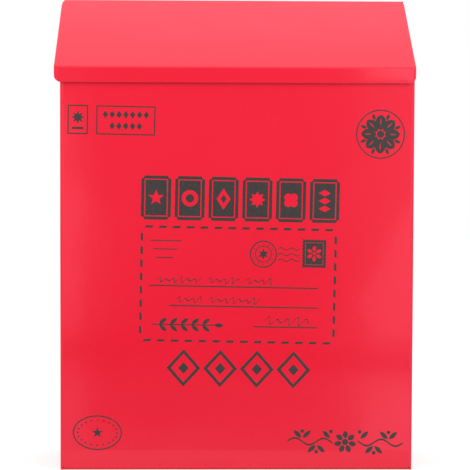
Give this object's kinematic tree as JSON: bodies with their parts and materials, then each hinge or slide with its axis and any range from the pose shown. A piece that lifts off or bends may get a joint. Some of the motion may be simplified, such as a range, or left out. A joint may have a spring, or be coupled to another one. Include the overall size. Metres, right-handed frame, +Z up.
{
  "type": "wall mailbox",
  "caption": "Tall shallow wall mailbox of folded sheet steel with a sloping lift-up lid on a wire hinge and keyholes in its back.",
  "frame": {"origin": "on the wall plane, midway between the entries of the two keyholes", "axes": "+Z up, +Y into the wall, +X to the right of someone who faces the box"},
  "size_m": [0.255, 0.088, 0.338],
  "materials": {
    "red_paint": "satin powder coat",
    "wire": "drawn zinc-plated wire",
    "ink": "matt printed ink"
  },
  "bodies": {
    "box": {"body_shell": "red_paint", "back_panel": "red_paint", "front_print": "ink"},
    "lid": {"lid": "red_paint", "hinge_pin": "wire"}
  },
  "joints": [
    {"name": "lid_hinge", "type": "hinge", "parent": "box", "child": "lid", "pos_m": [0, -0.0028, 0.06534], "axis": [-1, 0, 0], "range_deg": [0, 118]}
  ]
}
